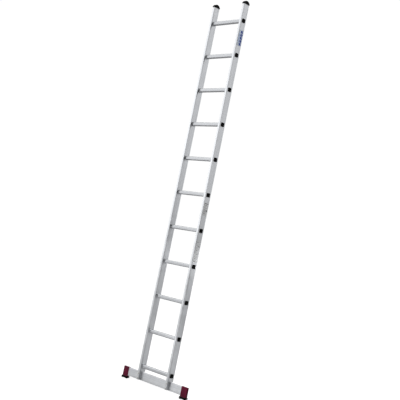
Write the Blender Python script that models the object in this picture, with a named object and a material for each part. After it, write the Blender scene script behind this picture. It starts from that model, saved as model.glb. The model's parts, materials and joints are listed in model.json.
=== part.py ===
"""Single-section aluminium leaning ladder with eleven rungs and a stabiliser bar.

Everything is modelled square, in the ladder's own frame: X along the rungs, Y from the
climber's side to the wall side, Z up along the stiles, with the origin on the floor midway
between the feet. An empty then leans the whole ladder back to its working angle.
"""

import math

import bmesh
import bpy

# ---- driving dimensions, metres ----
LEAN = math.radians(16.0)          # from the vertical; about 74 degrees to the floor
GAP = 0.0003                       # clearance between touching pieces

RUNG_COUNT = 11
RUNG_PITCH = 0.280
FIRST_RUNG_UP = 0.130              # floor to the first rung's centre, along the stile
RUNG_SIDE = 0.029
RUNG_WALL = 0.0015
RUNG_CORNER = 0.006

STILE_OUTSIDE = 0.350              # across the outer faces of both stiles
STILE_WIDE = 0.021
STILE_DEEP = 0.058
STILE_WALL = 0.0015
STILE_CORNER = 0.002
STILE_BOTTOM = 0.024
STILE_TOP = 3.066

BAR_HALF = 0.3635                  # half the bar's length, to the end caps' outer walls
BAR_FRONT = -0.006
BAR_BACK = 0.009
BAR_BOTTOM = 0.022
BAR_TOP = 0.087
BAR_WALL = 0.0018
BAR_CORNER = 0.002

END_CAP_INNER = 0.3135
END_CAP_WALL = 0.002
END_CAP_BOTTOM = 0.015
END_CAP_CORNER = 0.004
END_CAP_SOFT = 0.003               # rounding of the closed end's edge
END_CAP_FLANGE = (0.060, 0.022, 0.0035)   # wide, deep, thick
END_CAP_FLANGE_CORNER = 0.005
END_CAP_FLANGE_SOFT = 0.002
END_CAP_FLANGE_DROP = 0.0005       # how far the flange reaches below the sleeve

SOLE_WIDE = 0.067
SOLE_FRONT = -0.013
SOLE_BACK = 0.015
SOLE_LOBE = 0.024                  # length of the thick lobe at each end of a sole
SOLE_ARCH = 0.003                  # how far the middle stands off the floor
SOLE_RAMP = 0.004                  # from the lobe's flat to the arch, across
SOLE_SOFT = 0.003
PEG_RADIUS = 0.004
PEG_UP = 0.005
PEG_APART = 0.034

TOP_CAP_OVER = 0.0022              # how far a top cap stands proud of the stile's faces
TOP_CAP_RIM = 0.006
TOP_CAP_RISE = 0.020
TOP_CAP_SOFT = 0.002
TOP_CAP_SPIGOT = 0.030
TOP_CAP_SPIGOT_CORNER = 0.002
TOP_CAP_SPIGOT_TAPER = 0.0015      # how much each side draws in at the tip
TOP_CAP_SPIGOT_LEAD = 0.004        # how long the taper is

PLUG_SIDE = 0.0325
PLUG_THICK = 0.0028
PLUG_CORNER = 0.007
PLUG_SOFT = 0.0016                 # how far the crown draws in
PLUG_SPIGOT = 0.014

LIP_THICK = 0.0009                 # rung end swaged over the stile's outer face
LIP_OUT = 0.0010
BEAD_THICK = 0.0045                # rung wall swaged out against the stile's inner face
BEAD_OUT = 0.0026

BOLT_RADIUS = 0.003
BOLT_ROOM = 0.0002
BOLT_HEIGHTS = {"lower": 0.037, "upper": 0.072}
BOLT_POINT = 0.001                 # chamfer at the bolt's tip
BOLT_PAST_NUT = 0.0025
HEAD_RADIUS = 0.005
HEAD_THICK = 0.004
NUT_ACROSS = 0.010                 # across flats
NUT_THICK = 0.0065
FLANGE_RADIUS = 0.0065             # the flange under each bolt head and nut
FLANGE_THICK = 0.0012
FLANGE_SOFT = 0.0003
INSERT_WIDE = 0.030
INSERT_CORNER = 0.001
SPACER_OVER = 0.018                # how far a tongue spacer reaches above the bar

LABEL_THICK = 0.0003
LABEL_CORNER = 0.003
LABELS = {                         # deep (Y), long (Z), centre height along the stile
    "name_label": (0.046, 0.128, 2.790),
    "use_label": (0.046, 0.100, 1.420),
    "care_label": (0.046, 0.170, 1.090),
}

STILE_X = STILE_OUTSIDE / 2 - STILE_WIDE / 2
SIDES = {"left": -1, "right": 1}
BAR_MID = (BAR_FRONT + BAR_BACK) / 2
BAR_MID_UP = (BAR_BOTTOM + BAR_TOP) / 2
END_CAP_OUTER = BAR_HALF + GAP + END_CAP_WALL
END_CAP_MID = (END_CAP_INNER + END_CAP_OUTER) / 2
SOLE_TOP = END_CAP_BOTTOM - END_CAP_FLANGE_DROP - GAP
CORNER_STEPS = 2                   # straight pieces in a quarter round
ROUND_STEPS = 12                   # straight pieces in a full round


def clear_scene():
    for thing in list(bpy.data.objects):
        bpy.data.objects.remove(thing, do_unlink=True)


# ---- materials ----
def material(name, colour, roughness, metallic):
    mat = bpy.data.materials.new(name)
    mat.use_nodes = True
    shader = mat.node_tree.nodes["Principled BSDF"]
    shader.inputs["Base Color"].default_value = (*colour, 1.0)
    shader.inputs["Roughness"].default_value = roughness
    shader.inputs["Metallic"].default_value = metallic
    mat.diffuse_color = (*colour, 1.0)
    return mat


FINISHES = {
    "aluminium": ((0.78, 0.79, 0.80), 0.38, 1.0),
    "steel": ((0.72, 0.72, 0.70), 0.30, 1.0),
    "maroon_plastic": ((0.105, 0.010, 0.030), 0.45, 0.0),
    "black_plastic": ((0.012, 0.012, 0.013), 0.50, 0.0),
    "black_rubber": ((0.010, 0.010, 0.010), 0.75, 0.0),
    "label_film": ((0.82, 0.84, 0.88), 0.35, 0.0),
}


# ---- shapes ----
def rounded_rectangle(wide, deep, corner):
    """Points of a rounded rectangle centred on the origin, anticlockwise."""
    points = []
    for quarter in range(4):
        start = quarter * math.pi / 2
        sx = 1 if quarter in (0, 3) else -1
        sy = 1 if quarter in (0, 1) else -1
        cx = sx * (wide / 2 - corner)
        cy = sy * (deep / 2 - corner)
        for k in range(CORNER_STEPS + 1):
            a = start + k * math.pi / 2 / CORNER_STEPS
            points.append((cx + corner * math.cos(a), cy + corner * math.sin(a)))
    return points


def circle(radius):
    turn = 2 * math.pi / ROUND_STEPS
    return [(radius * math.cos(k * turn), radius * math.sin(k * turn))
            for k in range(ROUND_STEPS)]


def shifted(outline, du, dv):
    return [(u + du, v + dv) for u, v in outline]


def place_z(u, v, w):
    return (u, v, w)


def place_x(u, v, w):
    return (w, u, v)


def place_y(u, v, w):
    return (v, w, u)


def loft(bm, stations, place):
    """A closed solid through outlines with equal point counts, each given as (outline, w)."""
    rings = [[bm.verts.new(place(u, v, w)) for u, v in outline] for outline, w in stations]
    for below, above in zip(rings, rings[1:]):
        for k in range(len(below)):
            n = (k + 1) % len(below)
            bm.faces.new((below[k], below[n], above[n], above[k]))
    bm.faces.new(list(reversed(rings[0])))
    bm.faces.new(rings[-1])


def hollow_loft(bm, outer, inner, place):
    """As loft, but with a bore through it; inner has stations of its own."""
    shells = []
    for stations in (outer, inner):
        rings = [[bm.verts.new(place(u, v, w)) for u, v in outline] for outline, w in stations]
        for below, above in zip(rings, rings[1:]):
            for k in range(len(below)):
                n = (k + 1) % len(below)
                corners = (below[k], below[n], above[n], above[k])
                bm.faces.new(corners if stations is outer else tuple(reversed(corners)))
        shells.append(rings)
    for end in (0, -1):
        out, bore = shells[0][end], shells[1][end]
        for k in range(len(out)):
            n = (k + 1) % len(out)
            corners = (out[k], out[n], bore[n], bore[k])
            bm.faces.new(tuple(reversed(corners)) if end == 0 else corners)


def add_object(name, build, finish=None, at=(0, 0, 0), mirrored=False):
    """Makes one named object from a function that fills a bmesh, and leans it with the ladder."""
    mesh = bpy.data.meshes.new(name)
    bm = bmesh.new()
    build(bm)
    if mirrored:
        bmesh.ops.scale(bm, vec=(-1, 1, 1), verts=bm.verts)
    bmesh.ops.recalc_face_normals(bm, faces=bm.faces)
    bm.to_mesh(mesh)
    bm.free()
    thing = bpy.data.objects.new(name, mesh)
    bpy.context.scene.collection.objects.link(thing)
    thing.location = at
    thing.parent = lean
    if finish:
        mesh.materials.append(material(name, *FINISHES[finish]))
        mesh.shade_smooth()
        mesh.set_sharp_from_angle(angle=math.radians(35))
    return thing


def add_cutter(name, build, at=(0, 0, 0), mirrored=False):
    thing = add_object(name, build, at=at, mirrored=mirrored)
    thing.hide_render = True
    thing.display_type = "WIRE"
    return thing


def cut(thing, cutter, operation="DIFFERENCE"):
    modifier = thing.modifiers.new(cutter.name, "BOOLEAN")
    modifier.operation = operation
    modifier.solver = "EXACT"
    modifier.object = cutter


# ---- sizes that follow from the ones above ----
def rung_height(number):
    return FIRST_RUNG_UP + number * RUNG_PITCH


def floor_at(y):
    """Height along the stile at which the leaning ladder's floor lies, for a given depth."""
    return y * math.tan(LEAN)


# ---- stiles ----
def build_stile(bm):
    ends = (STILE_BOTTOM, STILE_TOP)
    outline = rounded_rectangle(STILE_WIDE, STILE_DEEP, STILE_CORNER)
    bore = rounded_rectangle(
        STILE_WIDE - 2 * STILE_WALL, STILE_DEEP - 2 * STILE_WALL, STILE_CORNER - STILE_WALL
    )
    hollow_loft(bm, [(outline, z) for z in ends], [(bore, z) for z in ends], place_z)


def build_rung_holes(bm):
    side = RUNG_SIDE + 2 * GAP
    outline = rounded_rectangle(side, side, RUNG_CORNER + GAP)
    reach = STILE_OUTSIDE / 2 + 0.02
    for number in range(RUNG_COUNT):
        up = rung_height(number)
        hole = shifted(outline, 0, up)
        loft(bm, [(hole, -reach), (hole, reach)], place_x)


def build_bar_notch(bm):
    wide = STILE_OUTSIDE + 0.04
    deep = STILE_DEEP
    centre_y = BAR_FRONT - GAP + deep / 2
    top = BAR_TOP + GAP
    corners = ((-1, -1), (1, -1), (1, 1), (-1, 1))
    outline = [(x * wide / 2, centre_y + y * deep / 2) for x, y in corners]
    loft(bm, [(outline, STILE_BOTTOM - 0.01), (outline, top)], place_z)


def build_bolt_holes(bm):
    for side in SIDES.values():
        for up in BOLT_HEIGHTS.values():
            outline = shifted(circle(BOLT_RADIUS + BOLT_ROOM), up, side * STILE_X)
            loft(bm, [(outline, -STILE_DEEP), (outline, STILE_DEEP)], place_y)


# ---- rungs ----
def build_rung(bm):
    """A square tube through both stiles: swaged lip, plain neck and bead at each end."""
    def section(grow):
        side = RUNG_SIDE + 2 * grow
        return rounded_rectangle(side, side, RUNG_CORNER + grow)

    outer_face = STILE_OUTSIDE / 2 + GAP
    inner_face = STILE_OUTSIDE / 2 - STILE_WIDE - GAP
    half = [
        (section(LIP_OUT), outer_face + LIP_THICK),
        (section(LIP_OUT), outer_face),
        (section(0), outer_face),
        (section(0), inner_face),
        (section(BEAD_OUT), inner_face),
        (section(BEAD_OUT), inner_face - BEAD_THICK / 2),
        (section(0), inner_face - BEAD_THICK),
    ]
    stations = [(outline, -x) for outline, x in half] + list(reversed(half))
    side = RUNG_SIDE - 2 * RUNG_WALL
    bore = rounded_rectangle(side, side, RUNG_CORNER - RUNG_WALL)
    reach = outer_face + LIP_THICK
    hollow_loft(bm, stations, [(bore, -reach), (bore, reach)], place_x)


def build_rung_plug(bm):
    """A plug for the +X end of a rung: domed flange outside, spigot in the tube."""
    spigot = RUNG_SIDE - 2 * RUNG_WALL - 2 * GAP
    spigot_outline = rounded_rectangle(spigot, spigot, RUNG_CORNER - RUNG_WALL)

    def flange(inset):
        side = PLUG_SIDE - 2 * inset
        return rounded_rectangle(side, side, PLUG_CORNER - inset)

    seat = STILE_OUTSIDE / 2 + 2 * GAP + LIP_THICK
    crown = seat + PLUG_THICK
    loft(bm, [
        (spigot_outline, seat - PLUG_SPIGOT),
        (spigot_outline, seat),
        (flange(0), seat),
        (flange(0), seat + PLUG_THICK * 0.5),
        (flange(PLUG_SOFT), crown),
    ], place_x)


# ---- top caps ----
def cap_arch(over, drop):
    """A top cap seen from the side: a rim with an arc over it, lowered by drop, as (y, z)."""
    half = STILE_DEEP / 2 + over
    radius = (half ** 2 + TOP_CAP_RISE ** 2) / (2 * TOP_CAP_RISE)
    centre = STILE_TOP + GAP + TOP_CAP_RIM + TOP_CAP_RISE - radius
    reach = math.asin(half / radius)
    points = [(half, STILE_TOP + GAP)]
    for k in range(ROUND_STEPS + 1):
        a = reach - 2 * reach * k / ROUND_STEPS
        points.append((radius * math.sin(a), centre + radius * math.cos(a) - drop))
    points.append((-half, STILE_TOP + GAP))
    return points


def build_top_cap(bm):
    half = STILE_WIDE / 2 + TOP_CAP_OVER
    soft = TOP_CAP_SOFT
    outer = cap_arch(TOP_CAP_OVER - soft / 2, soft)
    full = cap_arch(TOP_CAP_OVER, 0)
    loft(bm, [(outer, -half), (full, soft - half), (full, half - soft), (outer, half)], place_x)


def build_top_cap_spigot(bm):
    wide = STILE_WIDE - 2 * STILE_WALL - 2 * GAP
    deep = STILE_DEEP - 2 * STILE_WALL - 2 * GAP
    taper = 2 * TOP_CAP_SPIGOT_TAPER
    low = STILE_TOP - TOP_CAP_SPIGOT
    outline = rounded_rectangle(wide, deep, TOP_CAP_SPIGOT_CORNER)
    tip = rounded_rectangle(wide - taper, deep - taper, TOP_CAP_SPIGOT_CORNER / 2)
    loft(bm, [(tip, low), (outline, low + TOP_CAP_SPIGOT_LEAD),
              (outline, STILE_TOP + TOP_CAP_RIM * 0.75)], place_z)


# ---- stabiliser bar ----
def build_bar(bm):
    deep = BAR_BACK - BAR_FRONT
    high = BAR_TOP - BAR_BOTTOM

    def section(inset):
        corner = BAR_CORNER - inset * 0.8
        outline = rounded_rectangle(deep - 2 * inset, high - 2 * inset, corner)
        return shifted(outline, BAR_MID, BAR_MID_UP)

    ends = (-BAR_HALF, BAR_HALF)
    hollow_loft(bm, [(section(0), x) for x in ends], [(section(BAR_WALL), x) for x in ends],
                place_x)


def build_end_cap(bm):
    """The +X end cap: a sleeve over the bar's end that runs down to the sole."""
    deep = BAR_BACK - BAR_FRONT + 2 * (END_CAP_WALL + GAP)
    top = BAR_TOP + GAP + END_CAP_WALL
    high = top - END_CAP_BOTTOM
    mid_up = (top + END_CAP_BOTTOM) / 2

    def section(inset):
        outline = rounded_rectangle(deep - 2 * inset, high - 2 * inset, END_CAP_CORNER - inset)
        return shifted(outline, BAR_MID, mid_up)

    soft = END_CAP_SOFT
    loft(bm, [(section(0), END_CAP_INNER), (section(0), END_CAP_OUTER - soft),
              (section(soft * 0.3), END_CAP_OUTER - soft * 0.3), (section(soft), END_CAP_OUTER)],
         place_x)


def build_end_cap_flange(bm):
    wide, deep, thick = END_CAP_FLANGE
    low = SOLE_TOP + GAP

    def plate(inset):
        outline = rounded_rectangle(wide - 2 * inset, deep - 2 * inset,
                                    END_CAP_FLANGE_CORNER - inset)
        return shifted(outline, END_CAP_MID, BAR_MID)

    loft(bm, [(plate(0), low), (plate(0), low + thick * 0.6),
              (plate(END_CAP_FLANGE_SOFT), low + thick)], place_z)


def build_end_cap_pocket(bm):
    """The pocket that takes the bar's end, open towards the ladder's middle."""
    deep = BAR_BACK - BAR_FRONT + 2 * GAP
    high = BAR_TOP - BAR_BOTTOM + 2 * GAP
    outline = shifted(rounded_rectangle(deep, high, BAR_CORNER + GAP), BAR_MID, BAR_MID_UP)
    loft(bm, [(outline, END_CAP_INNER - 0.01), (outline, BAR_HALF + GAP)], place_x)


def build_pegs(bm, low, high, radius):
    for offset in (-PEG_APART / 2, PEG_APART / 2):
        outline = shifted(circle(radius), END_CAP_MID + offset, BAR_MID)
        loft(bm, [(outline, low), (outline, high)], place_z)


def build_sole_pegs(bm):
    build_pegs(bm, SOLE_TOP - 0.002, SOLE_TOP + PEG_UP, PEG_RADIUS)


def build_peg_sockets(bm):
    build_pegs(bm, SOLE_TOP - 0.001, SOLE_TOP + PEG_UP + GAP, PEG_RADIUS + GAP)


def build_sole(bm):
    """A rubber block whose underside lies flat on the floor when the ladder leans.

    Seen from the front it has a thick lobe at each end and an arched middle.
    """
    half = SOLE_WIDE / 2
    top = SOLE_TOP
    soft = SOLE_SOFT

    def outline(y):
        low = floor_at(y)
        points = [(-half + soft, top), (-half, top - soft)]
        for k in range(CORNER_STEPS + 1):
            a = math.pi + k * math.pi / 2 / CORNER_STEPS
            points.append((-half + soft + soft * math.cos(a), low + soft + soft * math.sin(a)))
        inner = half - SOLE_LOBE
        points += [(-inner - SOLE_RAMP, low), (-inner, low + SOLE_ARCH),
                   (inner, low + SOLE_ARCH), (inner + SOLE_RAMP, low)]
        for k in range(CORNER_STEPS + 1):
            a = -math.pi / 2 + k * math.pi / 2 / CORNER_STEPS
            points.append((half - soft + soft * math.cos(a), low + soft + soft * math.sin(a)))
        points += [(half, top - soft), (half - soft, top)]
        return [(z, x + END_CAP_MID) for x, z in points]

    loft(bm, [(outline(y), y) for y in (SOLE_FRONT, SOLE_BACK)], place_y)


# ---- what holds the bar to the stiles ----
def build_spacer(bm):
    """A plastic block in the stile's tongue, so that the bolts don't crush it."""
    front = -STILE_DEEP / 2 + STILE_WALL + GAP
    back = BAR_FRONT - GAP
    wide = STILE_WIDE - 2 * STILE_WALL - 2 * GAP
    corner = STILE_CORNER - STILE_WALL
    outline = shifted(rounded_rectangle(wide, back - front, corner),
                      STILE_X, (front + back) / 2)
    loft(bm, [(outline, STILE_BOTTOM), (outline, BAR_TOP + SPACER_OVER)], place_z)


def bolt_sites():
    return [(side, level, sign * STILE_X, up)
            for side, sign in SIDES.items() for level, up in BOLT_HEIGHTS.items()]


def hexagon(across):
    """A hexagon of twelve points, a corner and the middle of a flat by turns."""
    points = []
    for k in range(12):
        radius = across / math.sqrt(3) if k % 2 == 0 else across / 2
        a = math.radians(30 * k)
        points.append((radius * math.cos(a), radius * math.sin(a)))
    return points


def build_bar_insert(bm):
    """A block inside the hollow bar behind a stile, so that the bolts don't squeeze it flat."""
    ends = (BAR_FRONT + BAR_WALL + GAP, BAR_BACK - BAR_WALL - GAP)
    high = BAR_TOP - BAR_BOTTOM - 2 * (BAR_WALL + GAP)
    block = rounded_rectangle(high, INSERT_WIDE, INSERT_CORNER)
    outline = shifted(block, BAR_MID_UP, STILE_X)
    loft(bm, [(outline, y) for y in ends], place_y)


def build_bolt(bm, x, up):
    under_head = -STILE_DEEP / 2 - GAP
    tip = BAR_BACK + GAP + NUT_THICK + BOLT_PAST_NUT
    top = under_head - FLANGE_THICK
    shank = circle(BOLT_RADIUS)
    loft(bm, [
        (shifted(circle(HEAD_RADIUS * 0.80), up, x), under_head - HEAD_THICK),
        (shifted(circle(HEAD_RADIUS * 0.97), up, x), under_head - HEAD_THICK * 0.8),
        (shifted(circle(HEAD_RADIUS), up, x), top - FLANGE_SOFT),
        (shifted(circle(FLANGE_RADIUS - FLANGE_SOFT), up, x), top),
        (shifted(circle(FLANGE_RADIUS), up, x), under_head),
        (shifted(shank, up, x), under_head),
        (shifted(shank, up, x), tip - BOLT_POINT),
        (shifted(circle(BOLT_RADIUS - BOLT_POINT), up, x), tip),
    ], place_y)


def build_nut(bm, x, up):
    """A flanged hexagon nut against the bar's back."""
    near = BAR_BACK + GAP
    flange = shifted(circle(FLANGE_RADIUS), up, x)
    hexagonal = shifted(hexagon(NUT_ACROSS), up, x)
    hole = shifted(circle(BOLT_RADIUS + BOLT_ROOM), up, x)
    outer = [(flange, near), (flange, near + FLANGE_THICK),
             (hexagonal, near + FLANGE_THICK + FLANGE_SOFT), (hexagonal, near + NUT_THICK)]
    hollow_loft(bm, outer, [(hole, near), (hole, near + NUT_THICK)], place_y)


# ---- labels ----
def build_label(bm, deep, tall, up):
    near = STILE_OUTSIDE / 2 + GAP
    outline = shifted(rounded_rectangle(deep, tall, LABEL_CORNER), 0, up)
    loft(bm, [(outline, near), (outline, near + LABEL_THICK)], place_x)


# ---- the ladder ----
clear_scene()
lean = bpy.data.objects.new("lean", None)
bpy.context.scene.collection.objects.link(lean)
lean.rotation_euler = (-LEAN, 0, 0)

rung_holes = add_cutter("rung_hole_cutter", build_rung_holes)
bar_notch = add_cutter("bar_notch_cutter", build_bar_notch)
bolt_holes = add_cutter("bolt_hole_cutter", build_bolt_holes)
for side, sign in SIDES.items():
    stile = add_object(f"stile_{side}", build_stile, "aluminium", at=(sign * STILE_X, 0, 0))
    for cutter in (rung_holes, bar_notch, bolt_holes):
        cut(stile, cutter)

for number in range(RUNG_COUNT):
    place = (0, 0, rung_height(number))
    add_object(f"rung_{number + 1:02d}", build_rung, "aluminium", at=place)
    for side, sign in SIDES.items():
        add_object(f"rung_plug_{side}_{number + 1:02d}", build_rung_plug, "black_plastic",
                   at=place, mirrored=sign < 0)

for side, sign in SIDES.items():
    place = (sign * STILE_X, 0, 0)
    spigot = add_cutter(f"top_cap_spigot_{side}", build_top_cap_spigot, at=place)
    top_cap = add_object(f"stile_top_cap_{side}", build_top_cap, "black_plastic", at=place)
    cut(top_cap, spigot, "UNION")

bar = add_object("stabiliser_bar", build_bar, "aluminium")
cut(bar, bolt_holes)

end_cap_helpers = {
    "flange": (build_end_cap_flange, "UNION"),
    "pocket": (build_end_cap_pocket, "DIFFERENCE"),
    "sockets": (build_peg_sockets, "DIFFERENCE"),
}
for side, sign in SIDES.items():
    flip = sign < 0
    end_cap = add_object(f"bar_end_cap_{side}", build_end_cap, "maroon_plastic", mirrored=flip)
    for part, (build, operation) in end_cap_helpers.items():
        helper = add_cutter(f"end_cap_{part}_{side}", build, mirrored=flip)
        cut(end_cap, helper, operation)
    sole = add_object(f"foot_sole_{side}", build_sole, "black_rubber", mirrored=flip)
    pegs = add_cutter(f"sole_pegs_{side}", build_sole_pegs, mirrored=flip)
    cut(sole, pegs, "UNION")
    spacer = add_object(f"tongue_spacer_{side}", build_spacer, "black_plastic", mirrored=flip)
    insert = add_object(f"bar_insert_{side}", build_bar_insert, "black_plastic", mirrored=flip)
    for block in (spacer, insert):
        cut(block, bolt_holes)

for side, level, x, up in bolt_sites():
    add_object(f"bar_bolt_{side}_{level}", lambda bm: build_bolt(bm, x, up), "steel")
    add_object(f"bar_nut_{side}_{level}", lambda bm: build_nut(bm, x, up), "steel")

for name, (deep, tall, up) in LABELS.items():
    add_object(name, lambda bm: build_label(bm, deep, tall, up), "label_film")
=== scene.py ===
import json
import math

import bmesh
import bpy
from mathutils import Matrix, Vector


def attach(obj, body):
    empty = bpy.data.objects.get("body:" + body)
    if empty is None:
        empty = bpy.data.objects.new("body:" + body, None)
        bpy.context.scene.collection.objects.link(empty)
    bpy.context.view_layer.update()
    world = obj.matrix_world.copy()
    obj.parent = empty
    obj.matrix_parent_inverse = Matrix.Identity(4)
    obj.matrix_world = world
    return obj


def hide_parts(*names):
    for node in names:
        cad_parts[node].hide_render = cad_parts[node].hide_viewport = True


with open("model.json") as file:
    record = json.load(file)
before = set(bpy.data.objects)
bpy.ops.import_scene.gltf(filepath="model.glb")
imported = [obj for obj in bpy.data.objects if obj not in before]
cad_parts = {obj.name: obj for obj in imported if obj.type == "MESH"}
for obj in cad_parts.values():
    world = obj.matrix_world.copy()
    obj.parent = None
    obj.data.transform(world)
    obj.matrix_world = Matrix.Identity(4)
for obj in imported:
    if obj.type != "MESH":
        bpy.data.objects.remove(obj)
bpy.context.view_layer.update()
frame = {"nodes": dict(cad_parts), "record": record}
print("frame loaded with", len(frame["nodes"]), "CAD nodes")

scene = bpy.context.scene

# The ladder leans back about X. Pieces are made upright in its own axes, with X along the
# rungs, Y towards the wall and Z up the stiles, and are leant back when they are placed.
treadAxis = next(m["axis"] for m in frame["record"]["mounts"] if m["name"] == "top_rung_tread")
leanAngle = math.atan2(treadAxis[1], treadAxis[2])
leanBack = Matrix.Rotation(-leanAngle, 4, "X")
standUp = leanBack.inverted()


def ladderBox(node):
    # lowest and highest corner of a CAD node in the ladder's own axes
    corners = [standUp @ v.co for v in frame["nodes"][node].data.vertices]
    low = Vector([min(c[axis] for c in corners) for axis in range(3)])
    high = Vector([max(c[axis] for c in corners) for axis in range(3)])
    return low, high


def floorAt(depth):
    # where the floor cuts the ladder's own Z at a given Y
    return depth * math.tan(leanAngle)


sides = {"left": -1, "right": 1}
rungNames = sorted(n for n in frame["nodes"] if n.startswith("rung_") and "plug" not in n)
stileLow, stileHigh = ladderBox("stile_right")
barLow, barHigh = ladderBox("stabiliser_bar")
barMid = (barLow + barHigh) / 2
rungHeights = [sum(corner.z for corner in ladderBox(name)) / 2 for name in rungNames]
stileMid = (stileLow.x + stileHigh.x) / 2
touch = 0.0003  # the clearance between neighbouring solids


# short ways to add nodes and join them
def newNode(tree, kind, **settings):
    node = tree.nodes.new(kind)
    for key, value in settings.items():
        setattr(node, key, value)
    return node


def plug(tree, source, socket):
    # a socket is linked, anything else becomes the socket's value
    if isinstance(source, bpy.types.NodeSocket):
        tree.links.new(source, socket)
    else:
        socket.default_value = source


def calc(tree, operation, first, second=0.0, clamp=False):
    node = newNode(tree, "ShaderNodeMath", operation=operation, use_clamp=clamp)
    plug(tree, first, node.inputs[0])
    plug(tree, second, node.inputs[1])
    return node.outputs[0]


def times(tree, first, second, clamp=False):
    return calc(tree, "MULTIPLY", first, second, clamp)


def plus(tree, first, second):
    return calc(tree, "ADD", first, second)


def minus(tree, first, second):
    return calc(tree, "SUBTRACT", first, second)


def ramp(tree, value, low, high, toLow=0.0, toHigh=1.0):
    node = newNode(tree, "ShaderNodeMapRange", interpolation_type="SMOOTHSTEP")
    for socket, source in zip(node.inputs, (value, low, high, toLow, toHigh)):
        plug(tree, source, socket)
    return node.outputs[0]


def noise(tree, place, scale, detail=3.0, roughness=0.55):
    node = newNode(tree, "ShaderNodeTexNoise")
    plug(tree, place, node.inputs["Vector"])
    plug(tree, scale, node.inputs["Scale"])
    node.inputs["Detail"].default_value = detail
    node.inputs["Roughness"].default_value = roughness
    return node.outputs[0]


def stretched(tree, place, stretch):
    node = newNode(tree, "ShaderNodeVectorMath", operation="MULTIPLY")
    plug(tree, place, node.inputs[0])
    plug(tree, stretch, node.inputs[1])
    return node.outputs[0]


def mixColour(tree, amount, first, second):
    node = newNode(tree, "ShaderNodeMix", data_type="RGBA")
    plug(tree, amount, node.inputs["Factor"])
    plug(tree, first, node.inputs["A"])
    plug(tree, second, node.inputs["B"])
    return node.outputs["Result"]


def spreadOver(tree, tone, low, spread):
    return plus(tree, times(tree, tone, spread), low)


def addRelief(tree, shader, height, strength, distance):
    node = newNode(tree, "ShaderNodeBump")
    node.inputs["Strength"].default_value = strength
    node.inputs["Distance"].default_value = distance
    plug(tree, height, node.inputs["Height"])
    plug(tree, node.outputs["Normal"], shader.inputs["Normal"])


def startGroup(name, inputs, outputs):
    # an input without a starting value is a vector, and every other socket is a number
    group = bpy.data.node_groups.new(name, "ShaderNodeTree")
    for label, value in inputs.items():
        kind = "NodeSocketVector" if value is None else "NodeSocketFloat"
        socket = group.interface.new_socket(label, in_out="INPUT", socket_type=kind)
        if value is not None:
            socket.default_value = value
    for label in outputs:
        group.interface.new_socket(label, in_out="OUTPUT", socket_type="NodeSocketFloat")
    given = group.nodes.new("NodeGroupInput").outputs
    made = group.nodes.new("NodeGroupOutput").inputs
    return group, given, made


def useGroup(tree, group, **values):
    node = newNode(tree, "ShaderNodeGroup", node_tree=group)
    for label, value in values.items():
        plug(tree, value, node.inputs[label])
    return node.outputs


def makeExtrusionGrain():
    # die lines drawn out along one axis, over slow patches of tone
    group, given, made = startGroup(
        "extrusionGrain", {"Place": None, "Stretch": None, "Patches": 14.0},
        ("Lines", "Cloud", "Height"))
    drawn = stretched(group, given["Place"], given["Stretch"])
    lines = noise(group, drawn, 1.0, detail=4.0, roughness=0.65)
    coarse = noise(group, drawn, 0.22, detail=2.0)
    cloud = noise(group, given["Place"], given["Patches"])
    plug(group, plus(group, times(group, lines, 0.6), times(group, coarse, 0.4)), made["Lines"])
    plug(group, cloud, made["Cloud"])
    plug(group, plus(group, times(group, lines, 0.35), times(group, coarse, 0.65)), made["Height"])
    return group


def makeEdgeWearAndHollowShade():
    # Marks is positive along outside edges, for wear, and negative in grooves and hollows, for
    # painted shade; both come back broken up
    group, given, made = startGroup(
        "edgeWearAndHollowShade", {"Place": None, "Marks": 0.0, "Breakup": 60.0}, ("Edge", "HollowShade"))
    broken = ramp(group, noise(group, given["Place"], given["Breakup"]), 0.35, 0.65, 0.35, 1.0)
    edge = calc(group, "MAXIMUM", given["Marks"], 0.0)
    # painted shade: the negative marks become a darkening mask for grooves and hollows
    hollow = calc(group, "MAXIMUM", times(group, given["Marks"], -1.0), 0.0)
    plug(group, times(group, edge, broken, clamp=True), made["Edge"])
    plug(group, times(group, hollow, broken, clamp=True), made["HollowShade"])
    return group


def makeHairScratches():
    # sparse fine scratches, mostly across the grain
    group, given, made = startGroup(
        "hairScratches", {"Place": None, "Across": None, "Amount": 0.5}, ("Mask",))
    drawn = stretched(group, given["Place"], given["Across"])
    thin = ramp(group, noise(group, drawn, 1.0, detail=1.0), 0.70, 0.76)
    where = ramp(group, noise(group, given["Place"], 9.0, detail=2.0), 0.52, 0.68)
    scratched = times(group, thin, where)
    plug(group, times(group, scratched, given["Amount"], clamp=True), made["Mask"])
    return group


def makeFloorDust():
    # pale dust that thins out with height and settles a little on what faces up
    group, given, made = startGroup(
        "floorDust", {"Position": None, "Normal": None, "Reach": 0.25, "Amount": 0.3}, ("Mask",))
    place = newNode(group, "ShaderNodeSeparateXYZ")
    facing = newNode(group, "ShaderNodeSeparateXYZ")
    plug(group, given["Position"], place.inputs[0])
    plug(group, given["Normal"], facing.inputs[0])
    low = ramp(group, place.outputs["Z"], 0.0, given["Reach"], 1.0, 0.0)
    flat = times(group, ramp(group, facing.outputs["Z"], 0.6, 1.0), 0.4)
    grains = ramp(group, noise(group, given["Position"], 130.0, detail=5.0), 0.38, 0.72)
    mask = times(group, plus(group, low, flat), grains)
    plug(group, times(group, mask, given["Amount"], clamp=True), made["Mask"])
    return group


def makeMouldGrain():
    # the fine pebble of a spark-eroded mould
    group, given, made = startGroup(
        "mouldGrain", {"Place": None, "Size": 1400.0}, ("Height", "Tone"))
    cells = newNode(group, "ShaderNodeTexVoronoi", feature="SMOOTH_F1")
    plug(group, given["Place"], cells.inputs["Vector"])
    plug(group, given["Size"], cells.inputs["Scale"])
    soft = noise(group, given["Place"], times(group, given["Size"], 0.4))
    plug(group, plus(group, cells.outputs["Distance"], soft), made["Height"])
    plug(group, noise(group, given["Place"], 22.0), made["Tone"])
    return group


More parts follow.
